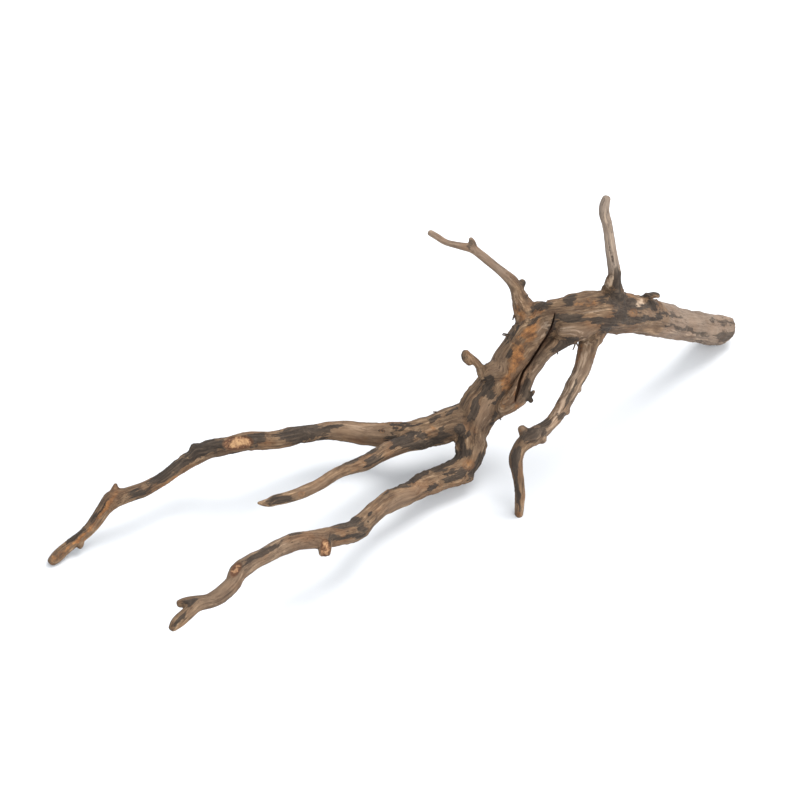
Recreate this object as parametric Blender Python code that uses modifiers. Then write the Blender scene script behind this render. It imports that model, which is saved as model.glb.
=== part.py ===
# A piece of driftwood lying on a table: one root-like branch with a split trunk, two long limbs reaching
# to the left, a short twig between them, a thin leg bent down to the table and two upright twigs.
# Metres, Z up, the middle of the piece's footprint at the origin.

import bpy
import bmesh
from mathutils import Vector

MM = 0.001

# Driving sizes, in mm.
VOXEL = 1.15            # cell of the remesh that grows the limbs into one skin
SMOOTH_ROUNDS = 5       # softens the crotches between limbs
LUMP_SIZE = 16.0        # width of the low swellings along the wood
LUMP_HEIGHT = 1.5       # how far they rise and fall
TRIANGLES = 9600        # faces left after the skin is simplified
SAW_POINT = (235.3, 170.0, 7.1)     # middle of the sawn butt
SAW_NORMAL = (0.54, 0.48, -0.70)    # the way the sawn butt looks
FOOTPRINT_MIDDLE = (-5.0, 0.0)      # of the stops below; it becomes the origin
RING_SIDES = 5          # extra points in each quarter of a limb's ring
ROUTE_STEPS = 6         # steps between two stops of a route

# Every stop is x, y, z and the limb's radius there.

TRUNK = (
    (246, 181, -6, 10.8),     # past the saw cut
    (234, 169, 8, 10.8),
    (221, 155, 22, 11.0),
    (209, 142, 34, 11.6),
    (191, 123, 53, 12.3),
    (173, 104, 72, 12.7),
    (154, 86, 90, 13.6),
    (136, 67, 106, 14.8),     # foot of the upright twig
    (117, 52, 116, 15.4),
    (103, 47, 117, 15.0),     # top of the arch
    (90, 51, 112, 12.6),      # left of the split from here down
    (79, 51, 103, 11.8),
    (70, 49, 91, 11.2),
    (60, 45, 75, 11.4),
    (52, 41, 60, 13.2),       # below the split
    (42, 33, 46, 14.8),
    (36, 24, 34, 12.8),
    (34, 15, 23, 10.8),       # elbow, just off the table
)

LIP = (
    (110, 45, 112, 12.0),
    (101, 43, 105, 8.6),
    (93, 42, 98, 6.8),
    (87, 42, 91, 6.0),
    (82, 41, 83, 5.8),
    (77, 39, 75, 5.7),
    (73, 35, 67, 5.8),
    (69, 30, 60, 6.2),
    (63, 27, 55, 6.8),
    (56, 29, 50, 6.4),
)

# Wood behind the split, which closes it at the back.
WEB = (
    (106, 55, 108, 9.0),
    (92, 52, 96, 8.0),
    (82, 49, 83, 7.6),
    (73, 45, 69, 7.6),
    (65, 39, 58, 8.6),
)

# The split itself, from its top to its foot: x, y, z on the wood's skin and half its width there.
SPLIT = (
    (92.0, 40, 126, 0.5),
    (91.2, 39, 121, 0.7),
    (89.6, 38, 114, 0.8),
    (87.2, 40, 105, 0.9),
    (84.2, 41, 98, 1.0),
    (80.8, 40, 91, 1.0),
    (76.6, 39, 83, 1.0),
    (72.4, 37, 77, 1.1),
    (70.0, 33, 72, 1.4),
    (69.0, 29, 69, 1.8),
    (67.4, 25, 65, 1.6),
    (66.4, 22, 62, 0.9),
)
SPLIT_INWARD = (0.0, 0.77, -0.64)   # the way the split runs into the wood
SPLIT_DEPTH = 7.0
SPLIT_CLEARANCE = 7.0               # how far its cutter stands out of the wood

LOWER_LIMB = (
    (39, 19, 28, 11.6),
    (32, 6, 17, 10.6),
    (24, -2, 16, 9.9),
    (14, -9, 17, 9.2),
    (3, -18, 21, 8.2),
    (-8, -30, 24, 7.6),
    (-21, -43, 27, 7.0),
    (-36, -64, 30, 6.9),
    (-45, -78, 34, 7.1),
    (-54, -86, 37, 7.9),      # swelling before the bend
    (-65, -94, 40, 6.8),
    (-82, -103, 46, 5.7),
    (-92, -110, 49, 5.3),
    (-101, -119, 51, 5.3),
    (-111, -128, 53, 5.8),    # oval scar
    (-118, -137, 52, 5.6),
    (-121, -144, 50, 5.4),
    (-126, -151, 47, 5.4),
    (-134, -156, 45, 4.4),
    (-141, -160, 45, 4.1),
    (-149, -167, 45, 3.9),
    (-156, -175, 43, 3.1),
    (-159, -178, 42, 2.6),    # open tip
)

LEFT_LIMB = (
    (44, 32, 43, 11.6),
    (26, 28, 37, 12.0),
    (15, 26, 34, 12.0),
    (4, 24, 32, 11.3),
    (-10, 22, 30, 10.3),
    (-25, 26, 28, 8.9),
    (-41, 27, 28, 7.9),
    (-52, 26, 31, 7.7),
    (-64, 24, 33, 7.1),
    (-75, 18, 36, 6.3),
    (-83, 13, 39, 6.4),
    (-104, -2, 47, 6.4),
    (-118, -6, 50, 6.9),      # cut scar
    (-132, -6, 45, 6.1),
    (-148, -4, 39, 6.5),
    (-160, -7, 36, 6.6),      # shoulder
    (-169, -15, 33, 5.4),
    (-178, -23, 30, 5.0),
    (-189, -31, 28, 5.3),
    (-200, -38, 28, 4.8),
    (-210, -42, 27, 5.5),     # knot
    (-216, -46, 23, 4.8),
    (-222, -51, 17, 4.4),
    (-228, -57, 12, 4.1),
    (-235, -62, 8, 4.3),
    (-243, -69, 5, 4.8),
    (-250, -76, 3, 4.3),
    (-253, -80, 3, 3.4),      # resting tip
)

MIDDLE_TWIG = (
    (4, 20, 31, 8.0),
    (-8, 10, 33, 6.6),
    (-17, 3, 35, 5.9),
    (-26, -5, 37, 5.7),
    (-36, -15, 38, 5.4),      # knot
    (-47, -23, 40, 4.7),
    (-58, -32, 42, 3.7),
    (-67, -42, 43, 3.7),
    (-79, -52, 44, 3.9),
    (-91, -60, 46, 3.7),
    (-100, -63, 46, 3.2),
    (-106, -65, 47, 2.2),
    (-110, -66, 47, 1.2),     # pointed end
)

LEG = (
    (123, 51, 108, 10.0),
    (118, 48, 97, 8.0),
    (115, 42, 86, 6.6),
    (112, 35, 79, 6.1),
    (107, 28, 73, 5.8),
    (102, 19, 68, 4.9),
    (97, 11, 64, 4.9),
    (91, 3, 60, 4.7),
    (84, -4, 58, 5.3),
    (76, -9, 56, 6.1),
    (69, -14, 50, 5.7),       # knee
    (66, -19, 45, 5.2),
    (66, -20, 36, 4.7),
    (68, -22, 26, 4.2),
    (70, -24, 16, 3.9),
    (70, -27, 8, 3.7),
    (69, -30, 0, 3.6),        # foot
    (69, -31, -5, 3.5),
)

UPRIGHT_TWIG = (
    (133, 60, 112, 11.0),
    (134, 62, 124, 8.0),
    (134, 63, 133, 5.6),
    (134, 64, 143, 4.3),
    (132, 64, 151, 4.0),
    (130, 66, 161, 3.8),
    (128, 68, 172, 3.6),
    (126, 69, 181, 3.5),
    (124, 70, 188, 3.8),
    (124, 72, 193, 3.5),
    (125, 74, 198, 2.6),      # broken end
)

BACK_TWIG = (
    (80, 52, 104, 11.0),
    (75, 56, 112, 9.0),
    (70, 59, 121, 6.4),
    (67, 62, 128, 4.8),
    (63, 65, 134, 4.1),
    (57, 68, 139, 3.4),
    (49, 72, 144, 3.2),
    (42, 75, 149, 3.1),
    (35, 78, 153, 3.2),       # fork
    (29, 79, 154, 2.6),
    (23, 81, 154, 2.3),
    (17, 84, 154, 2.3),
    (11, 87, 156, 2.5),
    (6, 91, 157, 2.4),        # blunt end
)

# Stubs, spurs and knots: what is left of smaller shoots.
STUBS = {
    "bud_stub": ((52, 38, 68, 6.5), (45, 39, 76, 4.2), (40, 41, 80, 3.4), (36, 42, 83, 3.3), (31, 44, 87, 4.2)),
    "back_twig_fork": ((37, 77, 152, 3.0), (36, 81, 156, 2.6), (35, 84, 160, 1.9)),
    "back_twig_spur": ((66, 62, 127, 4.2), (70, 66, 130, 2.8), (73, 70, 132, 2.3)),
    "trunk_spur": ((146, 76, 101, 7.0), (156, 86, 103, 4.4), (163, 86, 106, 3.2), (170, 86, 108, 1.9)),
    "bark_ridge": ((150, 76, 99, 8.0), (158, 84, 93, 8.0), (166, 92, 85, 6.5)),
    "twig_collar": ((128, 60, 115, 7.0), (127, 62, 123, 4.4), (128, 63, 130, 2.8)),
    "left_shoulder": ((-157, -6, 36, 6.0), (-161, -4, 38, 3.6)),
    "left_spike": ((-210, -41, 28, 4.6), (-210, -37, 32, 2.8), (-209, -34, 35, 1.7)),
    "left_nub": ((-233, -61, 8, 3.8), (-232, -66, 6, 2.2), (-232, -69, 5, 1.3)),
    "left_swelling": ((-81, 14, 39, 6.4), (-82, 16, 42, 3.6)),
    "lower_knot": ((-6, -29, 24, 7.0), (-6, -33, 20, 4.6), (-5, -36, 18, 2.8)),
    "lower_saw_stub": ((-64, -93, 42, 6.0), (-63, -99, 40, 4.6), (-63, -103, 37, 4.0), (-63, -105, 35, 3.6)),
    "lower_short_fork": ((-137, -157, 46, 4.0), (-145, -157, 47, 3.7), (-151, -158, 47, 3.5), (-154, -159, 47, 2.6)),
    "leg_thorn_high": ((107, 28, 71, 5.0), (111, 26, 70, 2.8), (113, 25, 69, 1.8)),
    "leg_thorn_middle": ((98, 14, 64, 4.8), (101, 11, 63, 3.0), (103, 9, 62, 2.0)),
    "leg_thorn_low": ((81, -7, 57, 4.8), (84, -10, 56, 3.0), (85, -12, 56, 2.0)),
    "knee_stub": ((75, -8, 55, 5.4), (71, -4, 57, 3.4), (70, -2, 58, 2.6)),
    "root_tuft": ((71, 33, 64, 3.8), (75, 29, 62, 3.0), (79, 25, 60, 2.6)),
    "root_tuft_upper": ((71, 34, 67, 3.2), (76, 32, 66, 2.6), (80, 30, 66, 1.9)),
}

LIMBS = {
    "trunk": TRUNK,
    "lip": LIP,
    "web": WEB,
    "lower_limb": LOWER_LIMB,
    "left_limb": LEFT_LIMB,
    "middle_twig": MIDDLE_TWIG,
    "leg": LEG,
    "upright_twig": UPRIGHT_TWIG,
    "back_twig": BACK_TWIG,
}


def clear_scene():
    for thing in list(bpy.data.objects):
        bpy.data.objects.remove(thing, do_unlink=True)


def collection(name):
    made = bpy.data.collections.new(name)
    bpy.context.scene.collection.children.link(made)
    return made


def wood_material():
    wood = bpy.data.materials.new("driftwood_wood")
    wood.use_nodes = True
    shader = wood.node_tree.nodes["Principled BSDF"]
    shader.inputs["Base Color"].default_value = (0.262, 0.171, 0.114, 1.0)
    shader.inputs["Roughness"].default_value = 0.82
    shader.inputs["Metallic"].default_value = 0.0
    return wood


def limb_curve(name, stops):
    """A round limb through its stops, swelling and thinning as they say."""
    curve = bpy.data.curves.new(name, "CURVE")
    curve.dimensions = "3D"
    curve.bevel_depth = MM
    curve.bevel_resolution = RING_SIDES
    curve.resolution_u = ROUTE_STEPS
    curve.render_resolution_u = ROUTE_STEPS
    curve.use_fill_caps = True
    spline = curve.splines.new("BEZIER")
    spline.radius_interpolation = "CARDINAL"
    spline.bezier_points.add(len(stops) - 1)
    for point, stop in zip(spline.bezier_points, stops):
        point.co = on_footprint(stop)
        point.handle_left_type = "AUTO"
        point.handle_right_type = "AUTO"
        point.radius = stop[3]
    limb = bpy.data.objects.new(name, curve)
    bpy.context.scene.collection.objects.link(limb)
    return limb


def closed_mesh(limb):
    """The limb's skin as mesh data, with its end caps joined on; the curve is removed."""
    bpy.context.view_layer.update()
    evaluated = limb.evaluated_get(bpy.context.evaluated_depsgraph_get())
    mesh = bpy.data.meshes.new_from_object(evaluated)
    bpy.data.objects.remove(limb, do_unlink=True)
    skin = bmesh.new()
    skin.from_mesh(mesh)
    bmesh.ops.remove_doubles(skin, verts=skin.verts, dist=0.00001)
    bmesh.ops.recalc_face_normals(skin, faces=skin.faces)
    skin.to_mesh(mesh)
    skin.free()
    return mesh


def all_limbs_mesh():
    """Every limb and stub in one mesh, still passing through one another."""
    gathered = bmesh.new()
    for name, stops in (LIMBS | STUBS).items():
        mesh = closed_mesh(limb_curve(name, stops))
        gathered.from_mesh(mesh)
        bpy.data.meshes.remove(mesh)
    whole = bpy.data.meshes.new("driftwood")
    gathered.to_mesh(whole)
    gathered.free()
    return whole


def cutting_block(name, middle, turn, sides, home):
    """A plain block used as a cutter, kept out of the picture."""
    block = bmesh.new()
    bmesh.ops.create_cube(block, size=1.0)
    mesh = bpy.data.meshes.new(name)
    block.to_mesh(mesh)
    block.free()
    cutter = bpy.data.objects.new(name, mesh)
    cutter.location = middle
    cutter.rotation_mode = "QUATERNION"
    cutter.rotation_quaternion = turn
    cutter.scale = sides
    cutter.hide_render = True
    cutter.display_type = "WIRE"
    home.objects.link(cutter)
    return cutter


def on_footprint(stop):
    """A stop's place in metres, seen from the middle of the footprint."""
    middle_x, middle_y = FOOTPRINT_MIDDLE
    x, y, z = stop[:3]
    return Vector((x - middle_x, y - middle_y, z)) * MM


def split_blade(home):
    """A thin curved blade along the split: four corners at each stop, joined along it."""
    inward = Vector(SPLIT_INWARD).normalized()
    blade = bmesh.new()
    rings = []
    for index, stop in enumerate(SPLIT):
        place = on_footprint(stop)
        before = on_footprint(SPLIT[max(index - 1, 0)])
        after = on_footprint(SPLIT[min(index + 1, len(SPLIT) - 1)])
        across = (after - before).cross(inward).normalized() * stop[3] * MM
        near = place - inward * SPLIT_CLEARANCE * MM
        far = place + inward * SPLIT_DEPTH * MM
        corners = (near - across, near + across, far + across * 0.6, far - across * 0.6)
        rings.append([blade.verts.new(corner) for corner in corners])
    for ring, following in zip(rings, rings[1:]):
        for side in range(4):
            other = (side + 1) % 4
            blade.faces.new((ring[side], ring[other], following[other], following[side]))
    blade.faces.new(rings[0][::-1])
    blade.faces.new(rings[-1])
    bmesh.ops.recalc_face_normals(blade, faces=blade.faces)
    mesh = bpy.data.meshes.new("split_blade")
    blade.to_mesh(mesh)
    blade.free()
    cutter = bpy.data.objects.new("split_blade", mesh)
    cutter.hide_render = True
    cutter.display_type = "WIRE"
    home.objects.link(cutter)
    return cutter


def grown_together(wood):
    """Modifiers that grow the crossing limbs into one skin and give it its low swellings."""
    remesh = wood.modifiers.new("grow_together", "REMESH")
    remesh.mode = "VOXEL"
    remesh.voxel_size = VOXEL * MM
    soften = wood.modifiers.new("soften_crotches", "SMOOTH")
    soften.factor = 0.5
    soften.iterations = SMOOTH_ROUNDS
    clouds = bpy.data.textures.new("low_swellings", "CLOUDS")
    clouds.noise_scale = LUMP_SIZE * MM
    clouds.noise_depth = 2
    swell = wood.modifiers.new("low_swellings", "DISPLACE")
    swell.texture = clouds
    swell.texture_coords = "LOCAL"
    swell.mid_level = 0.5
    swell.strength = 2 * LUMP_HEIGHT * MM
    bpy.context.view_layer.update()
    faces = len(wood.evaluated_get(bpy.context.evaluated_depsgraph_get()).data.polygons)
    simplify = wood.modifiers.new("simplify", "DECIMATE")
    simplify.ratio = TRIANGLES / (2 * faces)


def cut_away(wood, cutter):
    cut = wood.modifiers.new(cutter.name, "BOOLEAN")
    cut.operation = "DIFFERENCE"
    cut.solver = "EXACT"
    cut.object = cutter


clear_scene()
parts = collection("driftwood_piece")
cutters = collection("cutters")

driftwood = bpy.data.objects.new("driftwood", all_limbs_mesh())
parts.objects.link(driftwood)
driftwood.data.materials.clear()
driftwood.data.materials.append(wood_material())
grown_together(driftwood)

cut_away(driftwood, split_blade(cutters))

# The table plane flattens the three resting spots.
SLAB_SIDE = 800 * MM
SLAB_DEPTH = 40 * MM
level = Vector((0, 0, 1)).to_track_quat("Z", "Y")
table = cutting_block(
    "resting_spots", Vector((0, 0, -SLAB_DEPTH / 2)), level, (SLAB_SIDE, SLAB_SIDE, SLAB_DEPTH), cutters
)
cut_away(driftwood, table)

# The butt is sawn straight across.
SAW_SIDE = 60 * MM
outward = Vector(SAW_NORMAL).normalized()
saw = cutting_block(
    "sawn_butt",
    on_footprint(SAW_POINT) + outward * (SAW_SIDE / 2),
    outward.to_track_quat("Z", "Y"),
    (SAW_SIDE, SAW_SIDE, SAW_SIDE),
    cutters,
)
cut_away(driftwood, saw)
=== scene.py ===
# A piece of driftwood on a pale table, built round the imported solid.

import math

import bmesh
import bpy
import numpy as np
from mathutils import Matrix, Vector


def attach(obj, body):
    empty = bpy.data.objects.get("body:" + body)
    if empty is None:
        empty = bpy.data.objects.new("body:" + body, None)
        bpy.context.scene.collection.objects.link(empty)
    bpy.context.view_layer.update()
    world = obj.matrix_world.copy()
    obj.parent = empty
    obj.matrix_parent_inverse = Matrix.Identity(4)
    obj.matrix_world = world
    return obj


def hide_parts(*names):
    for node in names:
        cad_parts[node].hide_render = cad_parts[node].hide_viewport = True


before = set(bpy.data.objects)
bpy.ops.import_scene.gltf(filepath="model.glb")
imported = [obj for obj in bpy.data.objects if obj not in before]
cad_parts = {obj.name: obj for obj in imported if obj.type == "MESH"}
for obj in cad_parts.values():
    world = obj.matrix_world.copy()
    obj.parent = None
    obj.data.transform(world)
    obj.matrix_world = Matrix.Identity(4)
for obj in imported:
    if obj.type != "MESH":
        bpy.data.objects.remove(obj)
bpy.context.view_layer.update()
print("frame loaded:", sorted(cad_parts))

mm = 0.001


# Puts data into the scene as an object of that name.
def placeObject(name, data):
    made = bpy.data.objects.new(name, data)
    bpy.context.scene.collection.objects.link(made)
    return made


# The photograph's camera. Pixels are those of the 800 x 800 photograph.
photoView = {
    "place": (-0.009, -0.988, 0.911),   # metres
    "down": 40.0,                       # degrees below level
    "lens": 85.0,
    "sensor": 36.0,
    "width": 800,
}

lookingDown = math.radians(photoView["down"])
viewAhead = np.array([0.0, math.cos(lookingDown), -math.sin(lookingDown)])
viewUp = np.array([0.0, math.sin(lookingDown), math.cos(lookingDown)])


# Where points in metres fall in the photograph: x and y in pixels, by dividing what lies across and down
# from the view line by what lies along it.
def photoPixels(points):
    away = points - np.array(photoView["place"])
    scale = photoView["lens"] / photoView["sensor"] * photoView["width"]
    reach = away @ viewAhead
    middle = photoView["width"] / 2
    return middle + scale * away[:, 0] / reach, middle - scale * (away @ viewUp) / reach


# Each row at length 1.
def unitRows(vectors):
    return vectors / np.linalg.norm(vectors, axis=1)[:, None]


# Numbers that look random but never change

# A fixed value from 0 to 1 for each whole-number cell: its three numbers are mixed by large odd factors.
def latticeValue(cell, seed):
    x = cell[..., 0].astype(np.uint64) * np.uint64(374761393)
    y = cell[..., 1].astype(np.uint64) * np.uint64(668265263)
    z = cell[..., 2].astype(np.uint64) * np.uint64(2147483647)
    h = (x ^ (y << np.uint64(13)) ^ (z << np.uint64(7))) + np.uint64(seed * 1013904223 + 12345)
    h = (h ^ (h >> np.uint64(15))) * np.uint64(2246822519)
    h = (h ^ (h >> np.uint64(13))) * np.uint64(3266489917)
    h = h ^ (h >> np.uint64(16))
    return (h & np.uint64(0xFFFFFF)).astype(float) / 0xFFFFFF


# Smooth noise from -1 to 1: cell corners' values blended by 3t^2 - 2t^3 along each axis, then the same
# again at twice the fineness and half the strength for each further round.
def softNoise(points, seed, rounds=3):
    total = np.zeros(len(points))
    strength = 1.0
    weight = 0.0
    for turn in range(rounds):
        spot = points * 2.0 ** turn + 100.0 + 17.3 * turn
        low = np.floor(spot)
        part = spot - low
        part = part * part * (3 - 2 * part)
        cell = low.astype(np.int64)
        value = np.zeros(len(points))
        for corner in range(8):
            step = np.array([corner & 1, (corner >> 1) & 1, (corner >> 2) & 1])
            share = np.prod(np.where(step, part, 1 - part), axis=1)
            value += share * latticeValue(cell + step, seed + turn)
        total += strength * (2 * value - 1)
        weight += strength
        strength *= 0.5
    return total / weight


# 0 below low, 1 above high, and 3t^2 - 2t^3 between.
def easeBetween(value, low, high):
    t = np.clip((value - low) / (high - low), 0, 1)
    return t * t * (3 - 2 * t)


# Meshes from points and faces

def meshFrom(name, points, faces):
    mesh = bpy.data.meshes.new(name)
    mesh.from_pydata(points.tolist(), [], [face.tolist() for block in faces for face in block])
    mesh.update()
    return mesh


# Rings of points round a route: middle + radius * (cos a * across + sin a * up).
def ringsRound(middles, across, up, radii, sides):
    angle = np.linspace(0, 2 * math.pi, sides, endpoint=False)[None, :, None]
    return middles[:, None] + radii[..., None] * (np.cos(angle) * across[:, None] + np.sin(angle) * up[:, None])


# Four-cornered faces between each ring of a tube and the next.
def tubeWalls(rings, sides):
    ring, side = np.meshgrid(np.arange(rings - 1), np.arange(sides), indexing="ij")
    after = (side + 1) % sides
    return np.stack([ring * sides + side, ring * sides + after, (ring + 1) * sides + after,
                     (ring + 1) * sides + side], axis=-1).reshape(-1, 4)


# Triangles that close a tube, from a point past each end, which follow the rings' points, to the end's ring.
def tubeFans(rings, sides):
    around = np.arange(sides)
    onward = (around + 1) % sides
    last = (rings - 1) * sides
    return np.concatenate([np.column_stack([np.full(sides, rings * sides), onward, around]),
                           np.column_stack([np.full(sides, rings * sides + 1), last + around, last + onward])])


# One mesh of many closed tubes, each given as its points, its rings and its sides.
def meshOfTubes(name, tubes):
    starts = np.cumsum([0] + [len(points) for points, rings, sides in tubes])
    walls = [tubeWalls(rings, sides) + start for (points, rings, sides), start in zip(tubes, starts)]
    fans = [tubeFans(rings, sides) + start for (points, rings, sides), start in zip(tubes, starts)]
    skins = np.concatenate([points for points, rings, sides in tubes])
    return meshFrom(name, skins, [np.concatenate(walls), np.concatenate(fans)])


def turnFacesOutward(mesh):
    shape = bmesh.new()
    shape.from_mesh(mesh)
    bmesh.ops.recalc_face_normals(shape, faces=shape.faces)
    shape.to_mesh(mesh)
    shape.free()


# One row of three numbers for each entry of a mesh's points or normals.
def rowsOf(entries, field):
    flat = np.empty(len(entries) * 3)
    entries.foreach_get(field, flat)
    return flat.reshape(-1, 3)


# The limbs

limbShapes = {
    "footprintMiddle": (-5.0, 0.0),     # mm, in the stops' own x and y
    "routeStep": 1.2,       # mm between rings
    "ringPoints": 26,
    "flute": 0.055,         # share of the radius that a ring departs from round
    "thin": 0.05,           # mm taken off each radius, which the relief gives back
}

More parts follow.
